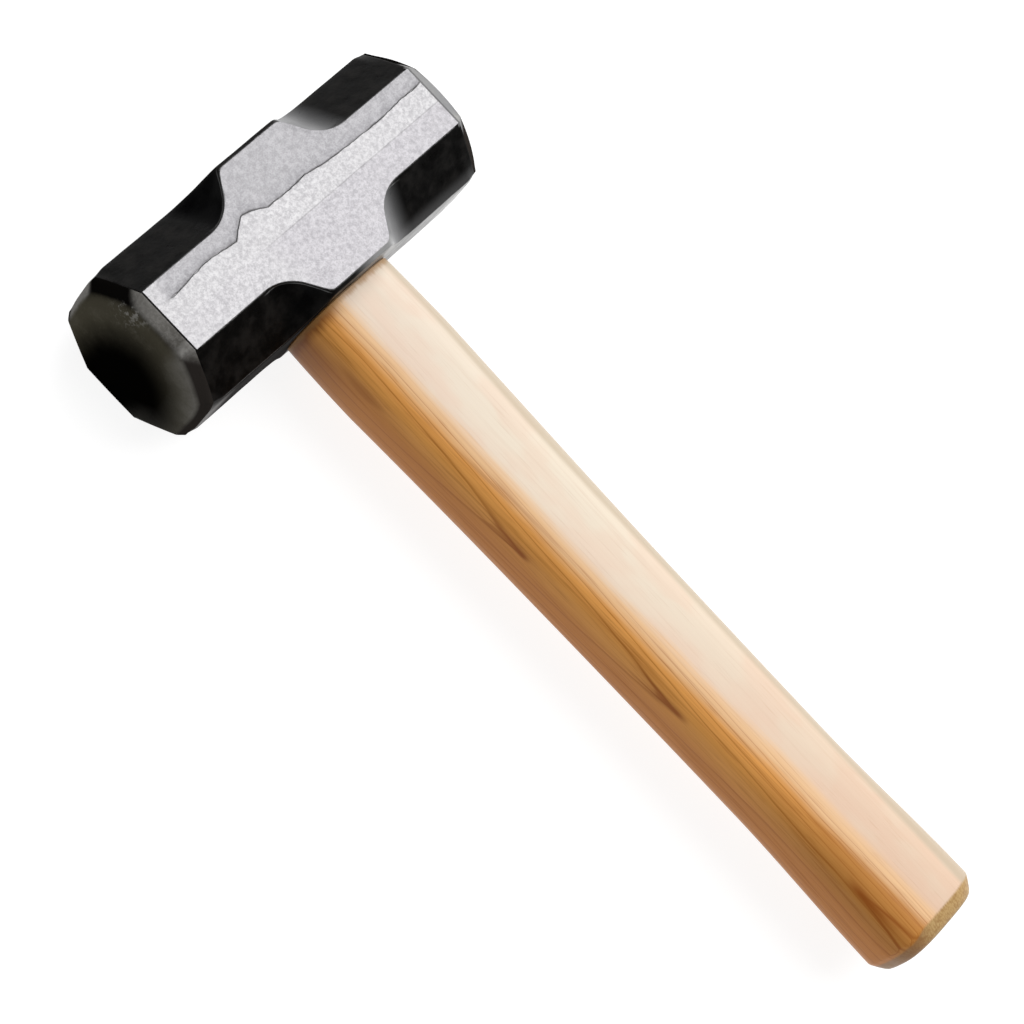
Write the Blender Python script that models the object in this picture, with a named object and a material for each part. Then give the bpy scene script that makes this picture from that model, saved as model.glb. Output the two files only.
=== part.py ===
"""Lump hammer: a forged steel head with octagonal ends on a wooden handle that is wedged in its eye.

The hammer lies on one cheek. +X runs along the head from striking face to striking face, +Y points
away from the handle and +Z is up. The origin is the middle of the lower cheek, on the plane that the
hammer rests on. Every piece keeps a small gap to its neighbours.
"""

import math

import bmesh
import bpy

MM = 0.001
GAP = 0.3 * MM                     # clearance between neighbouring pieces

# Head
HEAD_WIDTH = 46.0 * MM             # cheek to cheek, along Z
HEAD_HEIGHT = 45.6 * MM            # underside to top, along Y
ARM_END = 53.5 * MM                # middle of the head to the start of the bevel round a face
CORNER_Y = 12.8 * MM               # full corner, measured on a cheek
CORNER_Z = 11.6 * MM               # full corner, measured on the top and the underside
BOSS_CORNER = 0.1                  # share of the full corner that is broken on the square boss
SCALLOP_START = 26.8 * MM          # where a corner begins to run out towards the boss
SCALLOP_RADIUS = 13.5 * MM         # curve of the run-out, seen on a cheek
SCALLOP_SLOPE = math.radians(55)   # steepest slope of the run-out
SCALLOP_STEPS = 14
FACE_BEVEL_LENGTH = 3.7 * MM
FACE_BEVEL_INSET = 2.25 * MM
FACE_RISE = 1.3 * MM               # crown of a striking face
FACE_RINGS = (1.0, 0.86, 0.72, 0.58, 0.44, 0.3)   # crown rings, as shares of the face
SHARP_EDGE = math.radians(30)      # edges sharper than this stay crisp in the shading

# Eye: oval, widest at the top and narrowest in the middle
EYE_LENGTHS = (33.0 * MM, 31.4 * MM, 34.2 * MM)   # along X at the underside, the waist and the top
EYE_ROUNDNESS = 2.3                # exponent of the oval, where 2 is an ellipse
EYE_ASPECT = 0.745                 # width over length
EYE_LEVELS = 8                     # rings down the eye

# Handle
TENON_PROUD = 0.5 * MM             # how far the handle's end stands out of the eye
BUTT_Y = -254.3 * MM
GRIP_X = 31.8 * MM                 # waist section, along the head
GRIP_Z = 26.6 * MM                 # waist section, across the cheeks
GRIP_ROUNDNESS = 3.0
SHOULDER_SHRINK = 0.03             # narrowing from the neck to the head's underside
NECK_Y = -48.0 * MM
NECK_SWELL = 0.105
WAIST_TOP_Y = -182.0 * MM
WAIST_END_Y = -195.0 * MM
BUTT_SWELL = 0.078
BUTT_BEVEL_LENGTH = 5.0 * MM
BUTT_BEVEL_INSET = 2.0 * MM
BUTT_EDGE_LENGTH = 1.1 * MM        # last, steeper part of the bevel
BUTT_EDGE_INSET = 3.4 * MM
RING_POINTS = 48
NECK_LEVELS = 5
WAIST_LEVELS = 10
BUTT_LEVELS = 7

# Wedges
WOOD_WEDGE_DEPTH = 29.0 * MM
WOOD_WEDGE_THICK = 4.6 * MM
WOOD_WEDGE_TIP = 1.4 * MM
KERF_DEPTH = 31.0 * MM
STEEL_WEDGE_DEPTH = 15.0 * MM
STEEL_WEDGE_WIDTH = 17.0 * MM
STEEL_WEDGE_THICK = 3.0 * MM
STEEL_WEDGE_TIP = 0.8 * MM
STEEL_WEDGE_BARBS = 3
BARB_STEP = 0.25 * MM
STEEL_WEDGE_X = (-8.0 * MM, 8.0 * MM)
CUTTER_REACH = 3.0 * MM            # how far a cutter runs past the surface it opens

MID_Z = HEAD_WIDTH / 2
TOP_Y = HEAD_HEIGHT / 2
TENON_TOP_Y = TOP_Y + TENON_PROUD
SHOULDER_Y = -TOP_Y - GAP
FACE_START = ARM_END + FACE_BEVEL_LENGTH

COLOURS = {
    "head": ((0.045, 0.045, 0.048, 1.0), 0.45, 0.6),
    "handle": ((0.72, 0.48, 0.24, 1.0), 0.4, 0.0),
    "wooden_wedge": ((0.55, 0.36, 0.18, 1.0), 0.6, 0.0),
    "steel_wedge": ((0.35, 0.35, 0.36, 1.0), 0.4, 1.0),
}


def clear_scene():
    """Remove every object, and the collections left from an earlier run."""
    for thing in list(bpy.data.objects):
        bpy.data.objects.remove(thing, do_unlink=True)
    for group in list(bpy.data.collections):
        bpy.data.collections.remove(group)


def new_collection(name):
    """A collection linked to the scene."""
    group = bpy.data.collections.new(name)
    bpy.context.scene.collection.children.link(group)
    return group


def new_material(name):
    """A Principled material from the table of colours."""
    colour, roughness, metallic = COLOURS[name]
    material = bpy.data.materials.new(name)
    material.use_nodes = True
    shader = material.node_tree.nodes["Principled BSDF"]
    shader.inputs["Base Color"].default_value = colour
    shader.inputs["Roughness"].default_value = roughness
    shader.inputs["Metallic"].default_value = metallic
    material.diffuse_color = colour
    return material


def loft(name, rings, collection):
    """A closed solid through rings of equally many points, with a flat cap at each end."""
    shape = bmesh.new()
    loops = [[shape.verts.new(point) for point in ring] for ring in rings]
    for lower, upper in zip(loops, loops[1:]):
        for i, corner in enumerate(lower):
            j = (i + 1) % len(lower)
            shape.faces.new((corner, lower[j], upper[j], upper[i]))
    shape.faces.new(loops[0])
    shape.faces.new(loops[-1])
    bmesh.ops.recalc_face_normals(shape, faces=shape.faces)
    mesh = bpy.data.meshes.new(name)
    shape.to_mesh(mesh)
    shape.free()
    solid = bpy.data.objects.new(name, mesh)
    collection.objects.link(solid)
    return solid


def finish_piece(piece, material):
    """Give a piece its material and smooth shading with sharp edges kept."""
    piece.data.materials.append(material)
    piece.data.shade_smooth()
    piece.data.set_sharp_from_angle(angle=SHARP_EDGE)


def hide_cutter(cutter):
    """Show a cutter as wire only."""
    cutter.display_type = "WIRE"
    cutter.hide_render = True


def combine(target, cutter, operation):
    """Add a Boolean modifier to the target."""
    modifier = target.modifiers.new(cutter.name, "BOOLEAN")
    modifier.object = cutter
    modifier.operation = operation
    modifier.solver = "EXACT"


def octagon(x, share, inset=0.0, scale=1.0):
    """The head's section at x: a rectangle that loses a share of each full corner.

    The inset moves all eight sides in, and the scale shrinks the result about the head's axis.
    """
    leg_y = CORNER_Y * share
    leg_z = CORNER_Z * share
    shrink = inset * (leg_y + leg_z - math.hypot(leg_y, leg_z))
    half_y = TOP_Y - inset
    half_z = MID_Z - inset
    flat_y = half_y - (leg_y - shrink / leg_z)
    flat_z = half_z - (leg_z - shrink / leg_y)
    quarter = ((half_y, flat_z), (flat_y, half_z))
    outline = list(quarter)
    outline += [(-y, z) for y, z in reversed(quarter)]
    outline += [(-y, -z) for y, z in quarter]
    outline += [(y, -z) for y, z in reversed(quarter)]
    return [(x, scale * y, MID_Z + scale * z) for y, z in outline]


def corner_share(x):
    """Share of the full corner that is missing from the head at a distance x from its middle."""
    run = SCALLOP_START - x
    arc_run = SCALLOP_RADIUS * math.sin(SCALLOP_SLOPE)
    if run <= 0:
        return 1.0
    if run <= arc_run:
        fill = SCALLOP_RADIUS - math.sqrt(SCALLOP_RADIUS ** 2 - run ** 2)
    else:
        arc_fill = SCALLOP_RADIUS * (1 - math.cos(SCALLOP_SLOPE))
        fill = arc_fill + (run - arc_run) * math.tan(SCALLOP_SLOPE)
    return max(1 - fill / CORNER_Y, BOSS_CORNER)


def boss_end():
    """Distance from the head's middle to where the boss's corners start."""
    arc_run = SCALLOP_RADIUS * math.sin(SCALLOP_SLOPE)
    arc_fill = SCALLOP_RADIUS * (1 - math.cos(SCALLOP_SLOPE))
    ramp_fill = (1 - BOSS_CORNER) * CORNER_Y - arc_fill
    return SCALLOP_START - arc_run - ramp_fill / math.tan(SCALLOP_SLOPE)


def half_head_rings():
    """Sections from the boss out to one striking face."""
    boss = boss_end()
    arc_end = SCALLOP_START - SCALLOP_RADIUS * math.sin(SCALLOP_SLOPE)
    rings = [octagon(boss, corner_share(boss))]
    for step in range(SCALLOP_STEPS + 1):
        angle = SCALLOP_SLOPE * (1 - step / SCALLOP_STEPS)
        x = SCALLOP_START - SCALLOP_RADIUS * math.sin(angle) if step else arc_end
        rings.append(octagon(x, corner_share(x)))
    rings.append(octagon(ARM_END, 1.0))
    for scale in FACE_RINGS:
        x = FACE_START + FACE_RISE * (1 - scale ** 2)
        rings.append(octagon(x, 1.0, FACE_BEVEL_INSET, scale))
    return rings


def oval(half_x, half_z, roundness, y):
    """A level ring at y, from a flattened ellipse to a rounded rectangle as the roundness grows."""
    ring = []
    for i in range(RING_POINTS):
        angle = 2 * math.pi * i / RING_POINTS
        reach_x = abs(math.cos(angle) / half_x) ** roundness
        reach_z = abs(math.sin(angle) / half_z) ** roundness
        radius = (reach_x + reach_z) ** (-1 / roundness)
        ring.append((radius * math.cos(angle), y, MID_Z + radius * math.sin(angle)))
    return ring


def eye_ring(y, inset):
    """The eye's section at y, less an inset. The length follows a parabola through three levels."""
    low, middle, high = EYE_LENGTHS
    t = y / TOP_Y
    length = middle + (high - low) / 2 * t + ((high + low) / 2 - middle) * t * t
    return oval(length / 2 - inset, length * EYE_ASPECT / 2 - inset, EYE_ROUNDNESS, y)


def spread(start, end, count):
    """Evenly spaced values from start to end."""
    return [start + (end - start) * i / (count - 1) for i in range(count)]


def grip_scale(y):
    """Size of the handle's section at y, as a share of the waist section."""
    if y > NECK_Y:
        t = (y - NECK_Y) / (SHOULDER_Y - NECK_Y)
        return 1 + NECK_SWELL - SHOULDER_SHRINK * t * t
    if y > WAIST_TOP_Y:
        t = (y - WAIST_TOP_Y) / (NECK_Y - WAIST_TOP_Y)
        return 1 + NECK_SWELL * t * t
    if y > WAIST_END_Y:
        return 1.0
    t = (WAIST_END_Y - y) / (WAIST_END_Y - (BUTT_Y + BUTT_BEVEL_LENGTH))
    t = min(t, 1.0)
    return 1 + BUTT_SWELL * t * t * (3 - 2 * t)


def grip_ring(y, inset=0.0):
    """The handle's outer section at y, less an inset."""
    scale = grip_scale(y)
    return oval(GRIP_X * scale / 2 - inset, GRIP_Z * scale / 2 - inset, GRIP_ROUNDNESS, y)


def make_head(collection, cutters):
    """Forged head: square boss in the middle, octagonal arms, bevelled and crowned faces, oval eye."""
    half = half_head_rings()
    mirrored = [[(-x, y, z) for x, y, z in ring] for ring in reversed(half)]
    head = loft("head", mirrored + half, collection)
    levels = [-TOP_Y - CUTTER_REACH] + spread(-TOP_Y, TOP_Y, EYE_LEVELS) + [TOP_Y + CUTTER_REACH]
    eye = loft("eye_cutter", [eye_ring(y, 0.0) for y in levels], cutters)
    hide_cutter(eye)
    combine(head, eye, "DIFFERENCE")
    finish_piece(head, new_material("head"))
    return head


def tenon_rings():
    """The part of the handle that fills the eye."""
    return [eye_ring(y, GAP) for y in spread(TENON_TOP_Y, SHOULDER_Y, EYE_LEVELS)]


def make_handle(collection):
    """Handle in one piece: tenon, shoulder under the head, swelling grip and bevelled butt."""
    grip_end = BUTT_Y + BUTT_BEVEL_LENGTH
    rings = tenon_rings()
    rings += [grip_ring(y) for y in spread(SHOULDER_Y, NECK_Y, NECK_LEVELS)]
    rings += [grip_ring(y) for y in spread(NECK_Y, WAIST_END_Y, WAIST_LEVELS)[1:]]
    rings += [grip_ring(y) for y in spread(WAIST_END_Y, grip_end, BUTT_LEVELS)[1:]]
    rings.append(grip_ring(BUTT_Y + BUTT_EDGE_LENGTH, BUTT_BEVEL_INSET))
    rings.append(grip_ring(BUTT_Y, BUTT_EDGE_INSET))
    handle = loft("handle", rings, collection)
    finish_piece(handle, new_material("handle"))
    return handle


def wedge_blade(name, tip, thick, depth, length, collection):
    """A plain wedge lying along X that narrows down from above the tenon's end."""
    slope = (thick - tip) / depth
    top = TENON_TOP_Y + CUTTER_REACH
    rings = []
    for y in (TENON_TOP_Y - depth, top):
        half = (tip + slope * (y - TENON_TOP_Y + depth)) / 2
        corners = ((-1, -1), (1, -1), (1, 1), (-1, 1))
        rings.append([(sx * length / 2, y, MID_Z + sz * half) for sx, sz in corners])
    return loft(name, rings, collection)


def make_wooden_wedge(collection, cutters):
    """Wooden wedge across the whole length of the eye, trimmed to the tenon's outline."""
    reach = max(EYE_LENGTHS) + 2 * CUTTER_REACH
    wedge = wedge_blade("wooden_wedge", WOOD_WEDGE_TIP, WOOD_WEDGE_THICK, WOOD_WEDGE_DEPTH, reach, collection)
    blank = loft("tenon_blank", tenon_rings(), cutters)
    hide_cutter(blank)
    combine(wedge, blank, "INTERSECT")
    finish_piece(wedge, new_material("wooden_wedge"))
    return wedge


def make_kerf(cutters):
    """The sawn slot in the tenon that takes the wooden wedge."""
    reach = max(EYE_LENGTHS) + 2 * CUTTER_REACH
    extra = KERF_DEPTH - WOOD_WEDGE_DEPTH
    taper = (WOOD_WEDGE_THICK - WOOD_WEDGE_TIP) / WOOD_WEDGE_DEPTH
    tip = WOOD_WEDGE_TIP + 2 * GAP - extra * taper
    kerf = wedge_blade("kerf_cutter", tip, WOOD_WEDGE_THICK + 2 * GAP, KERF_DEPTH, reach, cutters)
    hide_cutter(kerf)
    return kerf


def barbed_outline():
    """Half outline of a steel wedge as (half thickness, y), from the tip up, with a step at each barb."""
    low = TENON_TOP_Y - STEEL_WEDGE_DEPTH
    rise = STEEL_WEDGE_DEPTH / (STEEL_WEDGE_BARBS + 1)
    growth = (STEEL_WEDGE_THICK - STEEL_WEDGE_TIP) / 2 / (STEEL_WEDGE_BARBS + 1)
    outline = [(STEEL_WEDGE_TIP / 2, low)]
    for barb in range(1, STEEL_WEDGE_BARBS + 1):
        half = STEEL_WEDGE_TIP / 2 + growth * barb
        outline.append((half, low + rise * barb))
        outline.append((half - BARB_STEP, low + rise * barb))
    outline.append((STEEL_WEDGE_THICK / 2, TENON_TOP_Y))
    return outline


def make_steel_wedge(name, x, material, collection):
    """Steel wedge driven crosswise: the barbed outline, run straight across the tenon."""
    half = barbed_outline()
    outline = half + [(-side, y) for side, y in reversed(half)]
    ends = (MID_Z - STEEL_WEDGE_WIDTH / 2, MID_Z + STEEL_WEDGE_WIDTH / 2)
    wedge = loft(name, [[(x + side, y, z) for side, y in outline] for z in ends], collection)
    finish_piece(wedge, material)
    return wedge


def make_steel_slot(name, x, cutters):
    """Slot for a steel wedge, a gap wider than the wedge all round and open at the top."""
    low = TENON_TOP_Y - STEEL_WEDGE_DEPTH - GAP
    top = TENON_TOP_Y + CUTTER_REACH
    slope = (STEEL_WEDGE_THICK - STEEL_WEDGE_TIP) / STEEL_WEDGE_DEPTH
    half_width = STEEL_WEDGE_WIDTH / 2 + GAP
    rings = []
    for y in (low, top):
        half = (STEEL_WEDGE_TIP + slope * (y - low)) / 2 + GAP
        corners = ((-1, -1), (1, -1), (1, 1), (-1, 1))
        rings.append([(x + sx * half, y, MID_Z + sz * half_width) for sx, sz in corners])
    slot = loft(name, rings, cutters)
    hide_cutter(slot)
    return slot


def build():
    """Make every piece of the hammer."""
    clear_scene()
    hammer = new_collection("lump_hammer")
    cutters = new_collection("cutters")
    make_head(hammer, cutters)
    handle = make_handle(hammer)
    wooden_wedge = make_wooden_wedge(hammer, cutters)
    combine(handle, make_kerf(cutters), "DIFFERENCE")
    steel = new_material("steel_wedge")
    for number, x in enumerate(STEEL_WEDGE_X, start=1):
        make_steel_wedge(f"steel_wedge_{number}", x, steel, hammer)
        slot = make_steel_slot(f"steel_slot_{number}", x, cutters)
        combine(handle, slot, "DIFFERENCE")
        combine(wooden_wedge, slot, "DIFFERENCE")


build()
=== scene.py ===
"""Looks of the lump hammer: a forged head with bare cheeks and black paint on a varnished handle.

Everything is in metres in the row's frame. The hammer lies on its lower cheek, with the head along X
and the handle towards -Y. Sizes come from the frame's boxes and the driving dimensions named below.
"""

import math

import bmesh
import bpy
from mathutils import Euler, Matrix, Vector, noise


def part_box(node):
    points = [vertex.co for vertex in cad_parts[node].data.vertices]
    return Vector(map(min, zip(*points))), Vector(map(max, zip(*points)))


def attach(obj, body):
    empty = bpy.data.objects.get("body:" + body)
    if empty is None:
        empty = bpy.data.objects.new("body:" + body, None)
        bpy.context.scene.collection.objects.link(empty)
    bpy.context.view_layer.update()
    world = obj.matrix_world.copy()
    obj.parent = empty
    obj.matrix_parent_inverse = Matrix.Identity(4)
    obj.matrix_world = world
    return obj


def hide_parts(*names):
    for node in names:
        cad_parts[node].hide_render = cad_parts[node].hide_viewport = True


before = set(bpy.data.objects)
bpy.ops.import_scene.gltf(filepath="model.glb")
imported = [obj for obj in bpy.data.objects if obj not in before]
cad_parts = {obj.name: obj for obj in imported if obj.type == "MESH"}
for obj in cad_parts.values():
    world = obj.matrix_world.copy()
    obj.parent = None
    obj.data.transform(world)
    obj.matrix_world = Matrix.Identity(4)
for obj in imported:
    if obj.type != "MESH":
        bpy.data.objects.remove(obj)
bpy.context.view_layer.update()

MM = 0.001
GAP = 0.3 * MM  # clearance between neighbouring pieces, as in the frame
ROUNDING_ERROR = 0.01 * MM  # allowance when two lengths are compared
SLIVER = 0.002 * MM  # edges shorter than this are dissolved

# Head, from the frame
HEAD_LOW, HEAD_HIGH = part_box("head")
HALF_LENGTH = HEAD_HIGH.x
TOP_Y = HEAD_HIGH.y
MID_Z = (HEAD_LOW.z + HEAD_HIGH.z) / 2
HALF_Z = HEAD_HIGH.z - MID_Z

# Head, driving dimensions
CORNER_Y = 12.8 * MM  # full corner, measured on a cheek
CORNER_Z = 11.6 * MM  # full corner, measured on the top and the underside
BOSS_CORNER = 0.1  # share of the full corner that is left on the square boss
SCALLOP_START = 26.8 * MM  # where a corner begins to run out towards the boss
SCALLOP_RADIUS = 13.5 * MM
SCALLOP_SLOPE = math.radians(55)
SCALLOP_BLEND = 0.7 * MM  # softness where the run-out meets the boss's corner
LIP_DEPTH = 0.5 * MM  # how far a pocket lies under the line from edge to edge
LIP_WIDTH = 1.0 * MM  # width of the steep wall between a cheek and a pocket
LIP_REACH = (11.5 * MM, 14.5 * MM, 21.0 * MM, 27.0 * MM)  # where the wall starts, is full, and ends
FACE_CROWN = 1.2 * MM
FACE_BEVEL_LENGTH = 3.7 * MM
FACE_BEVEL_INSET = 2.25 * MM
FACE_RADIUS = 21.3 * MM  # circle that the ring round a face is drawn towards
FACE_CIRCLE = (0.12, 0.58)  # how far, at the lower and the upper cheek: 1 is a full circle
END_PULL = 0.35  # rounding of the long edges along the top just before the bevel
END_PULL_LENGTH = 3.5 * MM
FACE_ROUND = 1.1 * MM  # softening of the ring between bevel and face
RIM_ROUND = 0.5 * MM  # softening of the ring between arm and bevel
RIM_RUN = 0.3 * MM  # length of the bevel that this softening takes
EDGE_ROUND = 0.9 * MM  # softening of the long painted edges
EDGE_ROUND_LIMIT = 0.42  # at most this share of a chamfer's width
CHEEK_ROUND = 0.25 * MM  # the ground cheeks keep crisper edges
ARM_END = HALF_LENGTH - FACE_CROWN - FACE_BEVEL_LENGTH
BARE_END = ARM_END - 0.6 * MM  # a strip of paint is left between a cheek and the bevel
WORN_START = ARM_END - 0.1 * MM  # the worn ends begin just before the bevel
HEAD_STEP = 0.5 * MM  # spacing of the sections along the head
BEVEL_ROUNDING = 0.85  # how round the sections are where the bevel meets the face
CROWN_EDGE = 0.92  # share of the face's size where its rounded rim ends
CROWN_TIP = 0.03  # share of the face's size at its innermost ring
CROWN_RINGS = 22

# Forging marks on a cheek, seen with the handle pointing down. The seam is a trimmed lap, given as
# (x, y) in millimetres, and the ridge is a faint change of slope.
SEAM = ((-60.0, 4.0), (-45.0, 4.2), (-38.0, 5.1), (-32.0, 5.5), (-27.0, 4.8), (-22.6, 4.4),
        (-19.7, 6.6), (-16.5, 8.7), (-13.5, 8.2), (-8.8, 6.0), (0.0, 5.8), (6.0, 6.2),
        (13.0, 5.2), (20.0, 4.8), (34.0, 4.4), (44.0, 4.9), (60.0, 4.8))
SEAM_RANGE = (3.0, 10.0)  # millimetres, wide enough for every y of the table
SEAM_FADE = (-51.0 * MM, -46.0 * MM)  # the seam dies out towards one end
RIDGE = -2.0 * MM
RIDGE_FADE = (-22.0 * MM, -8.0 * MM)
SEAM_WIDTH = 0.5 * MM
SEAM_STEP = 0.14 * MM  # the cheek is lower above the seam by this
SEAM_GROOVE = 1.8  # depth of the seam's own line, in steps
SEAM_WANDER = 0.5 * MM  # play of its ragged course
SEAM_WANDER_LENGTH = 2.4 * MM
MARKS_FADE = 2.5 * MM  # the marks die out over this length at a cheek's ends
FORGED_HOLLOW = 0.16 * MM  # depth of the small hollows in painted surfaces
GROUND_HOLLOW = 0.03 * MM  # and in the cheeks and the underside
UPPER_DRAFT = math.radians(1.0)
LOWER_DRAFT = math.radians(0.6)

# Handle, from the frame and its driving dimensions
HANDLE_LOW, HANDLE_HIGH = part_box("handle")
BUTT_Y = HANDLE_LOW.y
TENON_TOP_Y = HANDLE_HIGH.y
SHOULDER_Y = -TOP_Y - GAP
NECK_SWELL = 0.105
SHOULDER_SHRINK = 0.03
BUTT_SWELL = 0.078
NECK_Y = -48.0 * MM
WAIST_TOP_Y = -182.0 * MM
WAIST_END_Y = -195.0 * MM
GRIP_X = (HANDLE_HIGH.x - HANDLE_LOW.x) / (1 + NECK_SWELL)
GRIP_Z = (HANDLE_HIGH.z - HANDLE_LOW.z) / (1 + NECK_SWELL)
GRIP_ROUNDNESS = 3.0
SANDED_HOLLOW = 0.22 * MM  # unevenness, drawn out along the grain
HANDLE_POINTS = 120
SHOULDER_EDGE = 0.4 * MM  # small bevel of the shoulder
TENON_EDGE = 0.35 * MM  # and of the tenon's top
BUTT_CENTRE = 8 * MM  # inset of the innermost ring of the flat butt
BUTT_BEVEL = ((5.0 * MM, 0.0), (4.4 * MM, 0.18 * MM), (2.6 * MM, 1.15 * MM), (1.2 * MM, 2.0 * MM),
              (0.5 * MM, 2.6 * MM), (0.12 * MM, 3.3 * MM), (0.0, 4.2 * MM))

# Eye and wedges
WOOD_LOW, WOOD_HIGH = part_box("wooden_wedge")
SHOULDER_GAP = 0.05 * MM  # the shoulder is driven up tight under the head
EYE_TOP = WOOD_HIGH.x - WOOD_LOW.x + 2 * GAP
EYE_SHARES = (0.965, 0.918, 1.0)  # eye length at the underside, the waist and the top
EYE_ROUNDNESS = 2.3
EYE_ASPECT = 0.745
EYE_CHAMFER = 1.0 * MM  # on the top only, where the wedges go in
EYE_FLARE = 0.8  # width of the chamfer, as a share of its depth
EYE_POINTS = 96
CUTTER_REACH = 3.0 * MM
KERF_TIP = 0.7 * MM  # half thickness of the wooden wedge's tip
SLOT_TIP = 0.5 * MM  # and of a steel wedge's


# Mesh helpers


def new_object(name, points, faces, slots=None):
    """A mesh object from points and faces, with a material slot for each face if given."""
    mesh = bpy.data.meshes.new(name)
    mesh.from_pydata(points, [], faces)
    if slots:
        mesh.polygons.foreach_set("material_index", slots)
    thing = bpy.data.objects.new(name, mesh)
    bpy.context.scene.collection.objects.link(thing)
    return thing


def face_out(thing):
    """Turn all faces of a closed mesh outwards."""
    shape = bmesh.new()
    shape.from_mesh(thing.data)
    bmesh.ops.recalc_face_normals(shape, faces=shape.faces)
    shape.to_mesh(thing.data)
    shape.free()


def loft(name, rings, slot_of=None):
    """A closed solid through rings of equally many points, with a fan over each end.

    slot_of(i, j) is the material slot of the face after point j, between rings i and i + 1.
    """
    count = len(rings[0])
    points = [point for ring in rings for point in ring]
    faces = []
    slots = []
    for i in range(len(rings) - 1):
        for j in range(count):
            k = (j + 1) % count
            faces.append((i * count + j, i * count + k, (i + 1) * count + k, (i + 1) * count + j))
            slots.append(slot_of(i, j) if slot_of else 0)
    ends = ((rings[0], 0, slots[0]), (rings[-1], (len(rings) - 1) * count, slots[-1]))
    for ring, start, slot in ends:
        centre = len(points)
        points.append(sum((Vector(point) for point in ring), Vector()) / count)
        faces += [(start + j, start + (j + 1) % count, centre) for j in range(count)]
        slots += [slot] * count
    solid = new_object(name, points, faces, slots)
    face_out(solid)
    return solid


def split_large_faces(thing):
    """Split faces of more than four corners into triangles, and dissolve slivers."""
    shape = bmesh.new()
    shape.from_mesh(thing.data)
    large = [face for face in shape.faces if len(face.verts) > 4]
    bmesh.ops.triangulate(shape, faces=large, quad_method="BEAUTY", ngon_method="BEAUTY")
    bmesh.ops.dissolve_degenerate(shape, dist=SLIVER, edges=shape.edges)
    shape.to_mesh(thing.data)
    shape.free()


def apply_cut(target, cutter):
    """Cut one solid out of another and remove the cutter."""
    modifier = target.modifiers.new("cut", "BOOLEAN")
    modifier.object = cutter
    modifier.operation = "DIFFERENCE"
    modifier.solver = "EXACT"
    graph = bpy.context.evaluated_depsgraph_get()
    target_mesh = bpy.data.meshes.new_from_object(target.evaluated_get(graph))
    old = target.data
    target.modifiers.clear()
    target.data = target_mesh
    bpy.data.meshes.remove(old)
    bpy.data.objects.remove(cutter, do_unlink=True)


def shade(thing, angle):
    """Smooth shading that keeps edges sharper than the angle."""
    thing.data.shade_smooth()
    thing.data.set_sharp_from_angle(angle=math.radians(angle))


def spread(start, end, count):
    """Evenly spaced values from start to end."""
    return [start + (end - start) * i / (count - 1) for i in range(count)]


def follow(table, x):
    """Straight-line interpolation in a table of (x, value) pairs."""
    for (x0, v0), (x1, v1) in zip(table, table[1:]):
        if x <= x1:
            return v0 + (v1 - v0) * max(x - x0, 0) / (x1 - x0)
    return table[-1][1]


def smooth(value, start, end):
    """A smooth step from 0 to 1 while the value goes from start to end."""
    t = min(max((value - start) / (end - start), 0.0), 1.0)
    return t * t * (3 - 2 * t)


def ripple(point, size, seed):
    """Smooth noise from 0 to 1 that changes over a size."""
    return 0.5 + 0.5 * noise.noise(Vector(point) / size + Vector((seed, 0, 0)))


# Head


def corner_share(x):
    """Share of the full corner that is missing from the head at x."""
    run = SCALLOP_START - abs(x)
    arc_run = SCALLOP_RADIUS * math.sin(SCALLOP_SLOPE)
    if run <= 0:
        return 1.0
    if run <= arc_run:
        fill = SCALLOP_RADIUS - math.sqrt(SCALLOP_RADIUS ** 2 - run ** 2)
    else:
        arc_fill = SCALLOP_RADIUS * (1 - math.cos(SCALLOP_SLOPE))
        fill = arc_fill + (run - arc_run) * math.tan(SCALLOP_SLOPE)
    limit = CORNER_Y * (1 - BOSS_CORNER)
    over = (fill - limit) / SCALLOP_BLEND
    fill = limit - SCALLOP_BLEND * math.log1p(math.exp(-over))
    return 1 - max(fill, 0.0) / CORNER_Y


def seam_y(x):
    """Height of the seam on a cheek at x, with a slightly ragged course."""
    ragged = SEAM_WANDER * (ripple((x, 0, 0), SEAM_WANDER_LENGTH, 3.0) - 0.5)
    return follow(SEAM, x / MM) * MM + ragged


def cheek_drop(y, seam, step):
    """How far a cheek at height y lies below the land between seam and ridge."""
    if y > seam:
        return step + (y - seam) * math.tan(UPPER_DRAFT)
    if y < RIDGE:
        return (RIDGE - y) * math.tan(LOWER_DRAFT)
    return 0.0


def outline_corners(share, inset):
    """The eight corners (y, z) of a section that is moved in by the inset, from the top side round."""
    leg_y = CORNER_Y * share
    leg_z = CORNER_Z * share
    shrink = inset * (leg_y + leg_z - math.hypot(leg_y, leg_z))
    half_y = TOP_Y - inset
    half_z = HALF_Z - inset
    flat_y = half_y - (leg_y - shrink / leg_z)
    flat_z = half_z - (leg_z - shrink / leg_y)
    return [Vector(c) for c in (
        (half_y, -flat_z), (half_y, flat_z), (flat_y, half_z), (-flat_y, half_z),
        (-half_y, flat_z), (-half_y, -flat_z), (-flat_y, -half_z), (flat_y, -half_z))]


FILLET_STEPS = 4  # on each rounded corner
SIDE_POINTS = 9  # inner points of the top and of the underside
LIP_ROWS = (0.25, 0.5, 0.75, 1.0, 1.3, 1.8)  # points of a chamfer near a cheek, in lip widths
CHAMFER_POINTS = 7  # its other inner points
CHEEK_ROWS = 9  # inner points above the seam, down to the ridge and below it
CHEEK_POINTS = 3 * CHEEK_ROWS + 4  # with three on the seam and one on the ridge
CHEEKS = (2, 6)  # numbers of the sides of a section, which starts on the top
CHAMFERS = (1, 3, 5, 7)
UNDERSIDE = 4
UNDERSIDE_START = 11.5 * MM  # the matt and the glossy paint begin beside the boss

# Material slots of the head
PAINT, STEEL, ENDS, MATT_PAINT, GLOSSY_PAINT = range(5)


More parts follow.
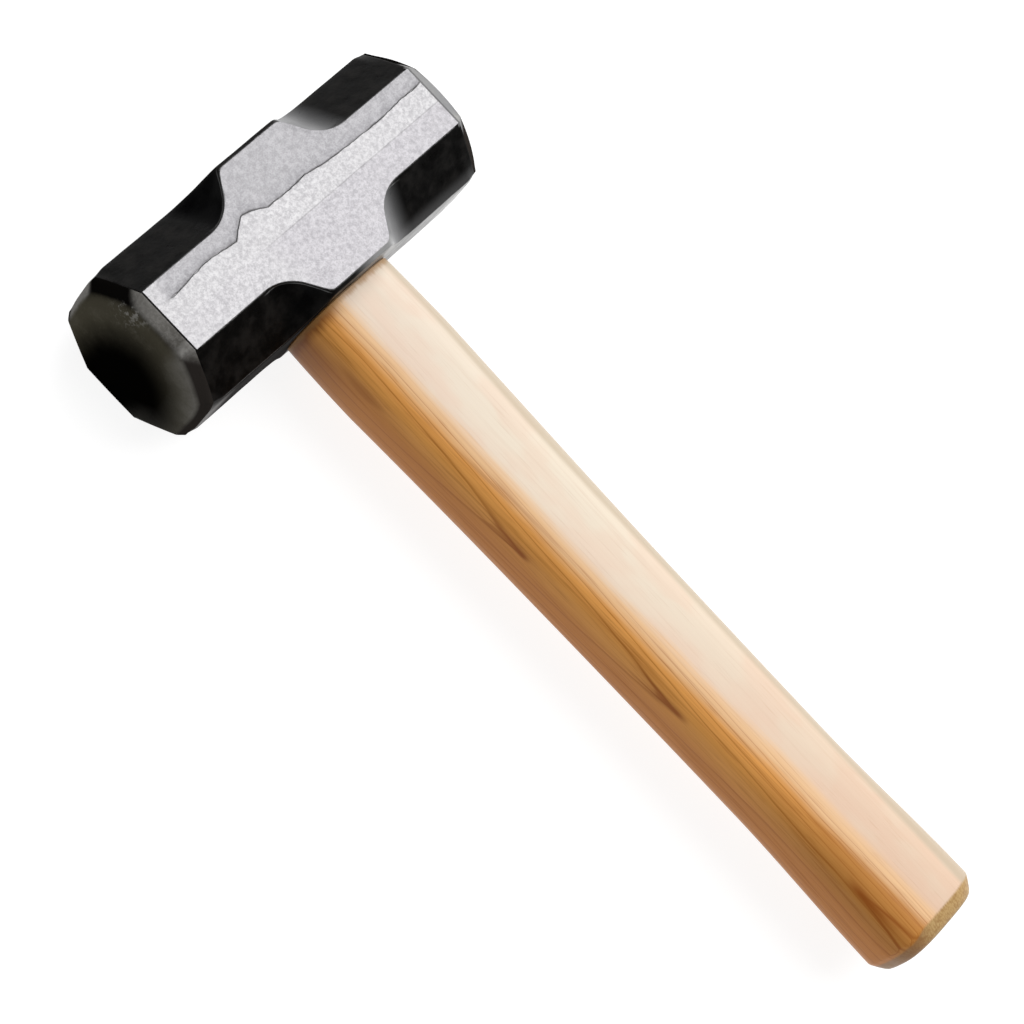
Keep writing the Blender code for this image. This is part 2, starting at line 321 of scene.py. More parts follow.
def fillet(before, corner, after, radius):
    """Points of a rounded corner, from one tangent point to the other."""
    a = (before - corner).normalized()
    b = (after - corner).normalized()
    half = a.angle(b) / 2
    reach = radius / math.tan(half)
    centre = corner + (a + b).normalized() * (radius / math.sin(half))
    start = corner + a * reach - centre
    end = corner + b * reach - centre
    turn = start.angle_signed(end)
    points = []
    for i in range(FILLET_STEPS + 1):
        share = i / FILLET_STEPS
        spun = start.copy()
        spun.rotate(Matrix.Rotation(-turn * share, 2))
        points.append(centre + spun)
    return points


def cheek_levels(x, top, bottom):
    """Heights of a cheek's inner points, downwards, with rows along the seam and the ridge."""
    seam = seam_y(x)
    above = seam + SEAM_WIDTH / 2
    below = seam - SEAM_WIDTH / 2
    levels = spread(top, above, CHEEK_ROWS + 2)[1:]
    levels += [seam]
    levels += spread(below, RIDGE, CHEEK_ROWS + 2)
    levels += spread(RIDGE, bottom, CHEEK_ROWS + 2)[1:-1]
    return levels, seam


def cheek_side(x, start, end, outward, marks):
    """Inner points of a cheek, with its seam and its two faint slopes."""
    levels, seam = cheek_levels(x * outward, max(start.x, end.x), min(start.x, end.x))
    if outward < 0:
        levels.reverse()
    step = SEAM_STEP * smooth(x * outward, *SEAM_FADE)
    points = []
    for y in levels:
        low = SEAM_GROOVE * step if y == seam else cheek_drop(y, seam, step)
        points.append(Vector((y, start.y - outward * low * marks)))
    return points


def chamfer_side(x, start, end, from_cheek):
    """Inner points of a chamfer, with a steep wall from the cheek down into the pocket."""
    length = (end - start).length
    unit = min(LIP_WIDTH, length / (LIP_ROWS[-1] + 1))
    near = [row * unit for row in LIP_ROWS]
    reach = near + spread(near[-1], length, CHAMFER_POINTS + 2)[1:-1]
    first, last = (start, end) if from_cheek else (end, start)
    along = (last - first) / length
    inward = Vector((-along.y, along.x))
    if inward.dot(first) > 0:
        inward.negate()
    start_reach, end_reach = LIP_REACH[:2], LIP_REACH[2:]
    here = smooth(abs(x), *start_reach) * (1 - smooth(abs(x), *end_reach))
    depth = LIP_DEPTH * unit / LIP_WIDTH * here
    points = []
    for distance in reach:
        low = depth * smooth(distance, 0, unit) * (1 - smooth(distance, length * 0.4, length))
        points.append(first + along * distance + inward * low)
    return points if from_cheek else points[::-1]


def section(x, share, inset, marks):
    """One ring of the head as (y, z) points. Marks fade the seam and the drafts out near the ends."""
    corners = outline_corners(share, inset)
    broad = min(EDGE_ROUND, EDGE_ROUND_LIMIT * math.hypot(CORNER_Y, CORNER_Z) * share)
    rounded = []
    for i in range(8):
        radius = CHEEK_ROUND if i in CHEEKS or i - 1 in CHEEKS else broad
        rounded.append(fillet(corners[i - 1], corners[i], corners[(i + 1) % 8], radius))
    ring = []
    for side in range(8):
        start = rounded[side][-1]
        end = rounded[(side + 1) % 8][0]
        ring += rounded[side]
        if side in CHEEKS:
            ring += cheek_side(x, start, end, 1 if side == CHEEKS[0] else -1, marks)
        elif side in CHAMFERS:
            ring += chamfer_side(x, start, end, side - 1 in CHEEKS)
        else:
            ring += [start.lerp(end, i / (SIDE_POINTS + 1)) for i in range(1, SIDE_POINTS + 1)]
    return ring


def head_profile():
    """Rings from the middle of the head to a face: (x, inset, share of the face's size, rounding)."""
    profile = [(x, 0.0, 1.0, 0.0) for x in spread(0, BARE_END, round(BARE_END / HEAD_STEP))]
    profile.append((ARM_END - RIM_ROUND, 0.0, 1.0, 0.0))
    slope = FACE_BEVEL_INSET / FACE_BEVEL_LENGTH
    for t in (0.5, 1.0):
        run = RIM_RUN * t * t
        profile.append((ARM_END - RIM_ROUND * (1 - t) ** 2 + run, slope * run, 1.0, 0.0))
    start_x, start_inset = profile[-1][:2]
    end_x = ARM_END + FACE_BEVEL_LENGTH - FACE_ROUND
    end_inset = FACE_BEVEL_INSET - slope * FACE_ROUND
    for t in (0.25, 0.5, 0.75, 1.0):
        x = start_x + (end_x - start_x) * t
        profile.append((x, start_inset + (end_inset - start_inset) * t, 1.0, BEVEL_ROUNDING * t))
    ring_x = ARM_END + FACE_BEVEL_LENGTH
    crown_x = ring_x + FACE_CROWN * (1 - CROWN_EDGE ** 2)
    for t in (0.25, 0.5, 0.75, 1.0):
        before, middle, after = (1 - t) ** 2, 2 * t * (1 - t), t * t
        x = before * end_x + middle * ring_x + after * crown_x
        inset = before * end_inset + (middle + after) * FACE_BEVEL_INSET
        scale = before + middle + after * CROWN_EDGE
        profile.append((x, inset, scale, BEVEL_ROUNDING + (1 - BEVEL_ROUNDING) * t))
    for scale in spread(CROWN_EDGE, CROWN_TIP, CROWN_RINGS)[1:]:
        profile.append((ring_x + FACE_CROWN * (1 - scale ** 2), FACE_BEVEL_INSET, scale, 1.0))
    return profile


def round_off(x, flat, inset, rounding):
    """A point of a section drawn towards a circle, on the bevel and face and on the edges before."""
    circle = flat.normalized() * (FACE_RADIUS + FACE_BEVEL_INSET - inset)
    if rounding > 0:
        lower, upper = FACE_CIRCLE
        share = lower + (upper - lower) * smooth(flat.y, -HALF_Z / 2, HALF_Z / 2)
        return flat.lerp(circle, rounding * share)
    near_end = smooth(x, ARM_END - END_PULL_LENGTH, ARM_END)
    pull = END_PULL * near_end * smooth(abs(flat.x), TOP_Y / 2, TOP_Y)
    return flat.lerp(circle, pull) if circle.length < flat.length else flat


def head_ring(x, inset, scale, rounding, sign):
    """A finished ring of the head as 3-D points: the section, rounded towards the face."""
    marks = 1 - smooth(x, BARE_END - MARKS_FADE, BARE_END)
    points = []
    for flat in section(sign * x, corner_share(x), inset, marks):
        spot = round_off(x, flat, inset, rounding) * scale
        points.append(Vector((sign * x, spot.x, MID_Z + spot.y)))
    return points


def forge(point, depth):
    """Press small hollows of up to a depth into the surface, towards the head's axis."""
    outward = point - Vector((point.x, 0, MID_Z))
    if outward.length < 1 * MM:
        return point
    broad = ripple(point, 9 * MM, 1.0)
    small = ripple(point, 3.5 * MM, 7.0)
    return point - outward.normalized() * (depth * (0.65 * broad + 0.35 * small))


def ring_zones():
    """For each point of a ring on the -X arm, the material slot of the face that follows it."""
    zones = []
    for side in range(8):
        zones += [STEEL if side in CHEEKS or side - 1 in CHEEKS else PAINT] * FILLET_STEPS
        if side in CHEEKS:
            zones += [STEEL] * (CHEEK_POINTS + 1)
        elif side in CHAMFERS:
            zones += [PAINT] * (len(LIP_ROWS) + CHAMFER_POINTS + 1)
        else:
            zones += [MATT_PAINT if side == UNDERSIDE else PAINT] * (SIDE_POINTS + 1)
    return zones


def make_eye_cutter():
    """Oval through the head along Y, with a small chamfer at the top."""
    levels = [-TOP_Y - CUTTER_REACH] + spread(-TOP_Y, TOP_Y, 25) + [TOP_Y + CUTTER_REACH]
    insets = [-EYE_FLARE * max(y - TOP_Y + EYE_CHAMFER, 0.0) for y in levels]
    return loft("eye_cutter", [eye_ring(y, inset, EYE_POINTS) for y, inset in zip(levels, insets)])


def make_head():
    """The forged head as one mesh, with matt paint under the -X arm and glossy under the other."""
    half = head_profile()
    rings = [head_ring(*place, -1) for place in reversed(half)]
    rings += [head_ring(*place, 1) for place in half[1:]]
    zones = ring_zones()
    reach = [place[0] for place in reversed(half)] + [place[0] for place in half[1:]]
    painted = [PAINT in (zones[j - 1], zones[j]) for j in range(len(zones))]
    hollows = [FORGED_HOLLOW if paint else GROUND_HOLLOW for paint in painted]
    rings = [[forge(point, depth) for point, depth in zip(ring, hollows)] for ring in rings]

    def slot_of(i, j):
        nearer, farther = sorted((reach[i], reach[i + 1]))
        if nearer >= WORN_START:
            return ENDS
        if zones[j] == STEEL and farther > BARE_END + ROUNDING_ERROR:
            return PAINT
        if zones[j] == MATT_PAINT and nearer < UNDERSIDE_START:
            return PAINT
        if zones[j] == MATT_PAINT and i >= len(half):
            return GLOSSY_PAINT
        return zones[j]

    head = loft("head_forging", rings, slot_of)
    apply_cut(head, make_eye_cutter())
    split_large_faces(head)
    shade(head, 38)
    return head


# Handle and wedges


def oval(half_x, half_z, roundness, y, count):
    """A level ring at y, from a flattened ellipse to a rounded rectangle as the roundness grows."""
    ring = []
    for i in range(count):
        angle = 2 * math.pi * i / count
        reach_x = abs(math.cos(angle) / half_x) ** roundness
        reach_z = abs(math.sin(angle) / half_z) ** roundness
        radius = (reach_x + reach_z) ** (-1 / roundness)
        ring.append(Vector((radius * math.cos(angle), y, MID_Z + radius * math.sin(angle))))
    return ring


def eye_ring(y, inset, count):
    """The eye's section at y, less an inset. The length follows a parabola through three levels."""
    low, middle, high = (EYE_TOP * share for share in EYE_SHARES)
    t = y / TOP_Y
    length = middle + (high - low) / 2 * t + ((high + low) / 2 - middle) * t * t
    return oval(length / 2 - inset, length * EYE_ASPECT / 2 - inset, EYE_ROUNDNESS, y, count)


def grip_scale(y):
    """Size of the handle's section at y, as a share of the waist section."""
    if y > NECK_Y:
        t = (y - NECK_Y) / (SHOULDER_Y - NECK_Y)
        return 1 + NECK_SWELL - SHOULDER_SHRINK * t * t
    if y > WAIST_TOP_Y:
        t = (y - WAIST_TOP_Y) / (NECK_Y - WAIST_TOP_Y)
        return 1 + NECK_SWELL * t * t
    if y > WAIST_END_Y:
        return 1.0
    t = (WAIST_END_Y - y) / (WAIST_END_Y - (BUTT_Y + BUTT_BEVEL[0][0]))
    t = min(t, 1.0)
    return 1 + BUTT_SWELL * t * t * (3 - 2 * t)


def grip_ring(y, inset):
    """The handle's outer section at y, slightly uneven as sanded wood is."""
    scale = grip_scale(y)
    half_x, half_z = GRIP_X * scale / 2 - inset, GRIP_Z * scale / 2 - inset
    axis = Vector((0, y, MID_Z))
    uneven = []
    for point in oval(half_x, half_z, GRIP_ROUNDNESS, y, HANDLE_POINTS):
        spot = (point.x, point.y / 4, point.z)
        low = SANDED_HOLLOW * ripple(spot, 11 * MM, 5.0)
        uneven.append(point - (point - axis).normalized() * low)
    return uneven


def blade(name, low, high, tip_low, tip_high):
    """A cutter one gap wider than a wedge, tapered like it from its tip to above its head."""
    rings = []
    top = high.y + CUTTER_REACH
    for y, small, large in ((low.y - GAP, tip_low, tip_high), (top, low, high)):
        left, right = small.x - GAP, large.x + GAP
        lower, upper = small.z - GAP, large.z + GAP
        corners = ((left, lower), (right, lower), (right, upper), (left, upper))
        rings.append([Vector((x, y, z)) for x, z in corners])
    return loft(name, rings)


def kerf_cutter():
    """The sawn slot for the wooden wedge, along the eye."""
    mid = (WOOD_LOW + WOOD_HIGH) / 2
    low = Vector((WOOD_LOW.x - CUTTER_REACH, WOOD_LOW.y, WOOD_LOW.z))
    high = Vector((WOOD_HIGH.x + CUTTER_REACH, WOOD_HIGH.y, WOOD_HIGH.z))
    tip_low = Vector((low.x, 0, mid.z - KERF_TIP))
    tip_high = Vector((high.x, 0, mid.z + KERF_TIP))
    return blade("kerf", low, high, tip_low, tip_high)


def slot_cutter(number):
    """The slot that a steel wedge has split open, across the eye."""
    low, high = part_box(f"steel_wedge_{number}")
    mid = (low + high) / 2
    tip_low = Vector((mid.x - SLOT_TIP, 0, low.z))
    tip_high = Vector((mid.x + SLOT_TIP, 0, high.z))
    return blade("slot", low, high, tip_low, tip_high)


def make_handle():
    """The handle: tenon with its kerf and slots, shoulder, grip and bevelled butt."""
    tenon_top = TENON_TOP_Y - TENON_EDGE
    shoulder = -TOP_Y - SHOULDER_GAP
    bevel_start = BUTT_Y + BUTT_BEVEL[0][0]
    rings = [eye_ring(TENON_TOP_Y, GAP + TENON_EDGE, HANDLE_POINTS)]
    rings += [eye_ring(y, GAP, HANDLE_POINTS) for y in spread(tenon_top, SHOULDER_Y, 16)]
    rings.append(grip_ring(shoulder, SHOULDER_EDGE))
    rings += [grip_ring(y, 0.0) for y in spread(shoulder - SHOULDER_EDGE, bevel_start, 150)]
    rings += [grip_ring(BUTT_Y + up, inset) for up, inset in BUTT_BEVEL[1:]]
    rings.append(grip_ring(BUTT_Y, BUTT_CENTRE))
    handle = loft("handle_wood", rings)
    for cutter in (kerf_cutter(), slot_cutter(1), slot_cutter(2)):
        apply_cut(handle, cutter)
    split_large_faces(handle)
    shade(handle, 32)
    return handle


# Materials, with colours as linear RGBA

STEEL_DARK = (0.245, 0.24, 0.248, 1)
STEEL_LIGHT = (0.345, 0.34, 0.346, 1)
STEEL_CLOUD = (0.29, 0.285, 0.29, 1)
UPPER_SHADE_TINT = (0.65, 0.65, 0.665, 1)  # painted shade: the cheek above the seam is darker, as its draft turns it from the light
LOWER_SHADE_TINT = (0.90, 0.89, 0.91, 1)  # painted shade: the cheek below the ridge is a little darker, as its draft turns it from the light
# Dark of the seam's own line and of the ridge's crease, also used as the painted shadow just above the
# seam
SEAM_LINE_AND_SHADOW = (0.04, 0.038, 0.04, 1)
PAINT_DARK = (0.0015, 0.0014, 0.0013, 1)
PAINT_LIGHT = (0.0066, 0.006, 0.0055, 1)
# Painted shade in the pockets beside the boss
POCKET_SHADE = (0.0008, 0.0008, 0.0009, 1)
PAINTED_HIGHLIGHT_GREY = (0.20, 0.20, 0.203, 1)  # painted highlight: a pale reflection in the pockets on the +X half and on the undersides
EDGE_WEAR_AND_HIGHLIGHT = (0.33, 0.33, 0.33, 1)  # rubbed edges, and painted highlights and reflections on the +X half and the undersides
# Painted shade: each face is dark around a spot below its middle and lighter towards its rim, and the
# +X face is lighter, as it faces the light.
FACE_SHADED_MIDDLE = (0.0010, 0.0009, 0.0007, 1)
FACE_LIT_MIDDLE = (0.022, 0.0205, 0.016, 1)
FACE_HIGH = (0.054, 0.049, 0.035, 1)
FACE_SCUFF = (0.085, 0.079, 0.063, 1)
RIM_RUBBED = (0.14, 0.134, 0.122, 1)
# The bevels' outer facets are rubbed grey; the +X end is lighter, a painted highlight.
BEVEL_NEAR = (0.085, 0.080, 0.073, 1)
BEVEL_FAR_HIGHLIGHT = (0.21, 0.21, 0.215, 1)
BEVEL_SPECK = (0.30, 0.295, 0.28, 1)
BEVEL_CHAMFER = (0.003, 0.0027, 0.0024, 1)
BEVEL_LOWER = (0.022, 0.019, 0.017, 1)
SAP_LIGHT = (0.61, 0.53, 0.425, 1)
SAP_BUTT = (0.575, 0.435, 0.32, 1)
SAP_NECK = (0.595, 0.51, 0.415, 1)
SAP_PINK = (1.0, 0.92, 0.90, 1)  # warmer clouds in the sapwood
AMBER = (0.65, 0.41, 0.215, 1)  # between sapwood and heartwood
HEART = (0.685, 0.315, 0.078, 1)
HEART_BUTT = (0.48, 0.21, 0.048, 1)
# Painted shade: the heartwood darker still on the side away from the light
HEART_SHADE_SIDE = (0.49, 0.185, 0.030, 1)
LATE_WOOD = (0.31, 0.092, 0.010, 1)
FLAME_DARK = (0.27, 0.066, 0.005, 1)
# Painted shade along the handle's +X edge
FAR_EDGE_SHADE = (0.42, 0.345, 0.255, 1)
END_GRAIN = (0.43, 0.285, 0.122, 1)
END_GRAIN_DARK = (0.31, 0.18, 0.068, 1)
END_HEART = (0.24, 0.105, 0.038, 1)
HEAD_SHADOW = (0.16, 0.045, 0.010, 1)  # painted shadow under the head
# Painted shadow in a narrow band right under the head
HEAD_SHADOW_HEM = (0.33, 0.175, 0.060, 1)
WEDGE_LIGHT = (0.45, 0.29, 0.14, 1)
WEDGE_DARK = (0.28, 0.15, 0.06, 1)
CAST_DARK = (0.16, 0.155, 0.15, 1)
CAST_LIGHT = (0.38, 0.37, 0.36, 1)

# Growth rings and sapwood of the handle
RING_TILT = math.radians(20)  # direction across the rings, turned from -X towards +Z
RING_STEP = 1.5 * MM
RING_CLIMB = 0.065  # how the rings run out of the wood: this times y squared, in 1/m
SAP_TILT = math.radians(59.4)  # direction from heartwood to sapwood, turned from +Z towards +X

# Pointed marks where rings run out of the -X side, in millimetres: tip (y), height above the middle,
# length (negative towards the butt) and half width
FLAMES = ((-107.0, 6.7, 19.0, 1.9), (-166.0, 7.4, 30.0, 2.4), (-229.0, 10.5, -40.0, 3.2))


def node(tree, kind, inputs=(), **settings):
    """A shader node with its settings, and its inputs given as values or as sockets to link."""
    made = tree.nodes.new(kind)
    for name, value in settings.items():
        setattr(made, name, value)
    for name, value in dict(inputs).items():
        if isinstance(value, bpy.types.NodeSocket):
            tree.links.new(value, made.inputs[name])
        else:
            made.inputs[name].default_value = value
    return made


def maths(tree, operation, *values, clamp=False):
    """The result of a Math node."""
    made = node(tree, "ShaderNodeMath", dict(enumerate(values)), operation=operation, use_clamp=clamp)
    return made.outputs[0]


def fade(tree, value, start, end, low=0.0, high=1.0):
    """A smooth change from low to high while the value goes from start to end."""
    inputs = {"Value": value, "From Min": start, "From Max": end, "To Min": low, "To Max": high}
    return node(tree, "ShaderNodeMapRange", inputs, interpolation_type="SMOOTHSTEP").outputs[0]


def ramp(tree, value, start, end, low=0.0, high=1.0):
    """A fade whose start and end are in millimetres."""
    return fade(tree, value, start * MM, end * MM, low, high)


def grain(tree, where, scale, detail, rough):
    """The value of a noise texture, with one scale or a tuple of one for each axis."""
    if isinstance(scale, tuple):
        where = node(tree, "ShaderNodeMapping", {"Vector": where, "Scale": scale}).outputs[0]
        scale = 1.0
    inputs = {"Vector": where, "Scale": scale, "Detail": detail, "Roughness": rough}
    return node(tree, "ShaderNodeTexNoise", inputs).outputs[0]


def mix(tree, share, first, second, blend="MIX"):
    """A colour mixed from two colours or sockets."""
    made = node(tree, "ShaderNodeMix", data_type="RGBA", blend_type=blend)
    for index, value in ((0, share), (6, first), (7, second)):
        if isinstance(value, bpy.types.NodeSocket):
            tree.links.new(value, made.inputs[index])
        else:
            made.inputs[index].default_value = value
    return made.outputs[2]


def new_material(name):
    """A new material, its node tree, its Principled shader and its object coordinates."""
    material = bpy.data.materials.new(name)
    material.use_nodes = True
    tree = material.node_tree
    shader = tree.nodes["Principled BSDF"]
    where = node(tree, "ShaderNodeTexCoord").outputs["Object"]
    return material, tree, shader, where


def link_surface(tree, shader, colour, roughness):
    """Link a colour and a roughness to the shader."""
    tree.links.new(colour, shader.inputs["Base Color"])
    tree.links.new(roughness, shader.inputs["Roughness"])


def bump(tree, shader, height, strength, distance):
    """Drive the shader's normal with a height, over a distance in millimetres."""
    inputs = {"Height": height, "Strength": strength, "Distance": distance * MM}
    tree.links.new(node(tree, "ShaderNodeBump", inputs).outputs[0], shader.inputs["Normal"])


def parts_of(tree, where):
    """X, Y and the height above the head's middle, as sockets."""
    x, y, z = node(tree, "ShaderNodeSeparateXYZ", {"Vector": where}).outputs
    return x, y, maths(tree, "SUBTRACT", z, MID_Z)


def wave(tree, value, reach):
    """A noise value turned into a shift, about half the reach in millimetres either way."""
    return maths(tree, "MULTIPLY", maths(tree, "SUBTRACT", value, 0.5), reach * MM)


def total(tree, *values):
    """The sum of several values."""
    result = values[0]
    for value in values[1:]:
        result = maths(tree, "ADD", result, value)
    return result


def product(tree, *values):
    """The product of several values."""
    result = values[0]
    for value in values[1:]:
        result = maths(tree, "MULTIPLY", result, value)
    return result


def cover(tree, base, colour, *shares):
    """A colour laid over a base, by the product of the shares."""
    return mix(tree, product(tree, *shares), base, colour)


def tint(tree, base, colour, *shares):
    """A base multiplied by a colour, by the product of the shares."""
    return mix(tree, product(tree, *shares), base, colour, "MULTIPLY")


def seam_curve(tree, along):
    """The seam's height from the place x along the cheek, as a curve scaled to the table's range."""
    start, end = SEAM[0][0], SEAM[-1][0]
    low, high = SEAM_RANGE
    share = maths(tree, "DIVIDE", maths(tree, "SUBTRACT", along, start * MM), (end - start) * MM)
    made = node(tree, "ShaderNodeFloatCurve", {"Factor": 1.0, "Value": share})
    curve = made.mapping.curves[0]
    spots = [((x - start) / (end - start), (value - low) / (high - low)) for x, value in SEAM]
    while len(curve.points) < len(spots):
        curve.points.new(0.5, 0.5)
    for point, spot in zip(curve.points, spots):
        point.location = spot
        point.handle_type = "VECTOR"
    made.mapping.update()
    return maths(tree, "MULTIPLY_ADD", made.outputs[0], (high - low) * MM, low * MM)


def hairline(tree, distance, width):
    """1 on a line and 0 beyond its half width, from the distance to it."""
    share = maths(tree, "DIVIDE", maths(tree, "ABSOLUTE", distance), width)
    return maths(tree, "SUBTRACT", 1.0, share, clamp=True)


def bare_steel():
    """Ground, fine-grained steel of the cheeks, with the seam and slightly different bands: painted
    shade darkens the band above the seam, the band below the ridge and a strip just above the seam.
    """
    material, tree, shader, where = new_material("bare_steel")
    x, y, depth = parts_of(tree, where)
    side = maths(tree, "SIGN", depth)
    along = maths(tree, "MULTIPLY", x, side)
    fine = grain(tree, where, 2100, 3, 0.6)
    medium = grain(tree, where, 800, 2, 0.5)
    cloud = grain(tree, where, 90, 2, 0.5)
    mottle = total(tree, product(tree, fine, 0.55), product(tree, medium, 0.45))
    base = mix(tree, fade(tree, mottle, 0.34, 0.66), STEEL_DARK, STEEL_LIGHT)
    base = cover(tree, base, STEEL_CLOUD, fade(tree, cloud, 0.35, 0.65, 0.0, 0.2))

    ragged = wave(tree, grain(tree, where, 330, 3, 0.6), 0.9)
    above = maths(tree, "SUBTRACT", total(tree, y, ragged), seam_curve(tree, along))
    jitter = wave(tree, medium, 0.5)
    seam_here = fade(tree, along, *SEAM_FADE)
    seam_tint = fade(tree, seam_here, 0.0, 1.0, 0.25, 1.0)
    height = total(tree, above, jitter)
    # Painted shade: the cheek above the seam is tinted darker, most of all close to the seam.
    upper = ramp(tree, height, 0, 0.2)
    shade_near_seam = ramp(tree, height, 4.0, 0, 0.75, 1.0)
    base = tint(tree, base, UPPER_SHADE_TINT, upper, shade_near_seam, seam_tint)
    # Painted shade: the cheek below the ridge is tinted a little darker.
    lower = fade(tree, total(tree, y, jitter), RIDGE + 0.4 * MM, RIDGE - 0.4 * MM)
    ridge_here = fade(tree, along, *RIDGE_FADE)
    base = tint(tree, base, LOWER_SHADE_TINT, lower, fade(tree, ridge_here, 0.0, 1.0, 0.3, 1.0))

    # Painted shadow: a dark strip just above the seam, under the step of the lap, deeper towards one
    # end of the cheek.
    shadow_above_seam = ramp(tree, height, 1.6, 0.2, 0.0, 0.3)
    base = cover(tree, base, SEAM_LINE_AND_SHADOW, upper, shadow_above_seam, seam_here, ramp(tree, along, -8, -20, 0.3, 1.0))
    width = fade(tree, grain(tree, where, 190, 3, 0.6), 0.35, 0.65, 0.2 * MM, 0.5 * MM)
    patches = fade(tree, grain(tree, where, 75, 2, 0.5), 0.3, 0.55, 0.45, 1.0)
    line = product(tree, hairline(tree, above, width), patches, seam_here)
    base = cover(tree, base, SEAM_LINE_AND_SHADOW, line)
    off_ridge = maths(tree, "SUBTRACT", total(tree, y, product(tree, ragged, 0.4)), RIDGE)
    crease = hairline(tree, off_ridge, 0.3 * MM)
    base = cover(tree, base, SEAM_LINE_AND_SHADOW, crease, patches, ridge_here, 0.35)
    shader.inputs["Metallic"].default_value = 0.5
    link_surface(tree, shader, base, fade(tree, mottle, 0.3, 0.7, 0.5, 0.4))
    bump(tree, shader, mottle, 0.22, 0.08)
    return material


def black_paint(name, gloss, underside_sheen=0.0):
    """Semi-matt black paint over forged steel, with scale marks, painted shade in the pockets and a
    painted highlight in the pockets on the +X half.

    underside_sheen paints a grey reflection onto the undersides, most of all towards the end of the
    arm.
    """
    material, tree, shader, where = new_material(name)
    x, y, depth = parts_of(tree, where)
    scale_marks = grain(tree, where, 210, 4, 0.6)
    fine = grain(tree, where, 1300, 3, 0.6)
    base = mix(tree, fade(tree, scale_marks, 0.4, 0.7), PAINT_DARK, PAINT_LIGHT)
    out = total(tree, maths(tree, "ABSOLUTE", x), wave(tree, scale_marks, 1))
    pocket = product(tree, ramp(tree, out, 11.5, 13.5), ramp(tree, out, 28, 24))
    # Painted shade: the pockets are darker, most of all on the +Y side.
    base = cover(tree, base, POCKET_SHADE, pocket, ramp(tree, y, -6, 6, 0.3, 1.0))
    # Painted highlight: the pockets on the +X half are pale, as if they caught the light.
    far = ramp(tree, x, -4, 8)
    highlight_reach = ramp(tree, y, -5, 5, 26.8 * MM, 28.9 * MM)
    pocket_highlight = maths(tree, "DIVIDE", maths(tree, "SUBTRACT", highlight_reach, out), 9.5 * MM, clamp=True)
    pocket_highlight = product(tree, maths(tree, "POWER", pocket_highlight, 1.5), far, ramp(tree, out, 12, 14))
    base = cover(tree, base, PAINTED_HIGHLIGHT_GREY, pocket_highlight)
    low = total(tree, y, wave(tree, scale_marks, 2))
    # Painted reflection: the -Y side of the +X half is a little lighter.
    base = cover(tree, base, PAINTED_HIGHLIGHT_GREY, ramp(tree, low, -19.5, -22.5), far, 0.2)
    # Painted highlight: a light band at the boss's -Y edge on the +X half.
    boss_highlight = product(tree, ramp(tree, out, 18, 15), ramp(tree, low, -19.5, -21.5), far)
    base = cover(tree, base, EDGE_WEAR_AND_HIGHLIGHT, boss_highlight, 0.7)
    drop = maths(tree, "SUBTRACT", HALF_Z, maths(tree, "ABSOLUTE", depth))
    foot = hairline(tree, maths(tree, "SUBTRACT", drop, LIP_DEPTH * 1.9), 0.2 * MM)
    base = cover(tree, base, EDGE_WEAR_AND_HIGHLIGHT, foot, pocket, fade(tree, scale_marks, 0.4, 0.55, 0.1, 0.5))
    along_cheek = fade(tree, out, BARE_END - 1 * MM, BARE_END - 2 * MM)
    border = product(tree, ramp(tree, drop, 0.5, 0.15), along_cheek)
    base = cover(tree, base, EDGE_WEAR_AND_HIGHLIGHT, border, fade(tree, fine, 0.35, 0.6, 0.1, 0.35))
    # Painted shadow: a dark band down the wall between a cheek and its pocket.
    wall = product(tree, ramp(tree, drop, 0.2, 0.6), ramp(tree, drop, 1.6, 0.9), pocket)
    base = cover(tree, base, POCKET_SHADE, wall, ramp(tree, y, -2, 2), 0.5)
    # Painted reflection on the undersides: greyer on the lower half, and lighter still towards the
    # arm's end.
    base = cover(tree, base, PAINTED_HIGHLIGHT_GREY, ramp(tree, depth, 13, 5, 0.15, 1.0), 0.22 * underside_sheen)
    end = product(tree, ramp(tree, out, 41, 51), ramp(tree, depth, 12, 2, 0.05, 1.0))
    base = cover(tree, base, EDGE_WEAR_AND_HIGHLIGHT, end, 0.8 * underside_sheen)
    # Painted highlight: a light strip beside the cheeks at the +X end.
    far_end = fade(tree, x, BARE_END - 0.4 * MM, BARE_END - 0.1 * MM)
    far_end_highlight = product(tree, far_end, ramp(tree, drop, 1.2, 0.5))
    base = cover(tree, base, EDGE_WEAR_AND_HIGHLIGHT, far_end_highlight, 0.4)
    link_surface(tree, shader, base, fade(tree, scale_marks, 0.3, 0.7, 0.27, 0.42))
    shader.inputs["Specular IOR Level"].default_value = gloss
    height = total(tree, product(tree, scale_marks, 0.8), product(tree, fine, 0.2))
    bump(tree, shader, height, 0.5, 0.25)
    return material


